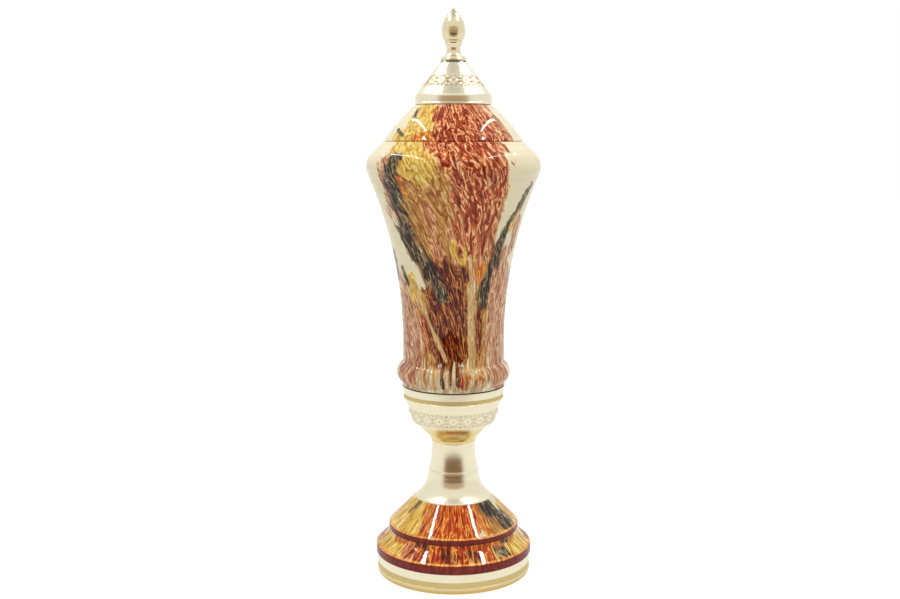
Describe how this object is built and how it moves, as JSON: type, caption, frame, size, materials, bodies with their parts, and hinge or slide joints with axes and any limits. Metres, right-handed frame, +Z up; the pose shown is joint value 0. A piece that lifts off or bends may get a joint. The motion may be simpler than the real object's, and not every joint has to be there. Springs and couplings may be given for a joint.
{
  "type": "covered cup trophy",
  "caption": "Tall covered cup on a stem: lacquered turned-wood cup, dome and foot, spun metal bowl, stem, ring and a lid with a bud finial that lifts off.",
  "frame": {"origin": "centre of the underside of the felt pad, on the surface that the trophy stands on", "axes": "+Z up along the turning axis; the side that shows the crimson fan of the marbling faces -Y"},
  "size_m": [0.1372, 0.1372, 0.45],
  "materials": {
    "lacquered_wood": "clear gloss lacquer over marbled red, ochre, blue-grey and ivory paint",
    "plated_metal": "pale champagne plating, lathe-brushed satin, with embossed bands on cap and bowl",
    "raw_wood": "turned, unfinished",
    "steel": "zinc-plated fasteners",
    "rubber": "black, matte",
    "felt": "dark green felt"
  },
  "bodies": {
    "trophy": {"base_felt": "felt", "base_ring": "plated_metal", "base_disc": "raw_wood", "base": "lacquered_wood", "rod_bottom_nut": "steel", "rod_bottom_washer": "steel", "tie_rod": "steel", "stem_bell": "plated_metal", "stem_tube": "plated_metal", "bowl": "plated_metal", "bowl_gasket": "rubber", "cup": "lacquered_wood", "rod_top_washer": "steel", "rod_top_nut": "steel", "dome": "lacquered_wood"},
    "lid": {"lid_pad": "felt", "lid_core": "raw_wood", "lid_cap": "plated_metal", "finial_washer": "rubber", "finial": "plated_metal", "lid_stud": "steel", "lid_stud_washer": "steel", "lid_stud_nut": "steel"}
  },
  "joints": [
    {"name": "lid_lift", "type": "slide", "parent": "trophy", "child": "lid", "axis": [0, 0, 1], "range_m": [0, 0.08]}
  ]
}
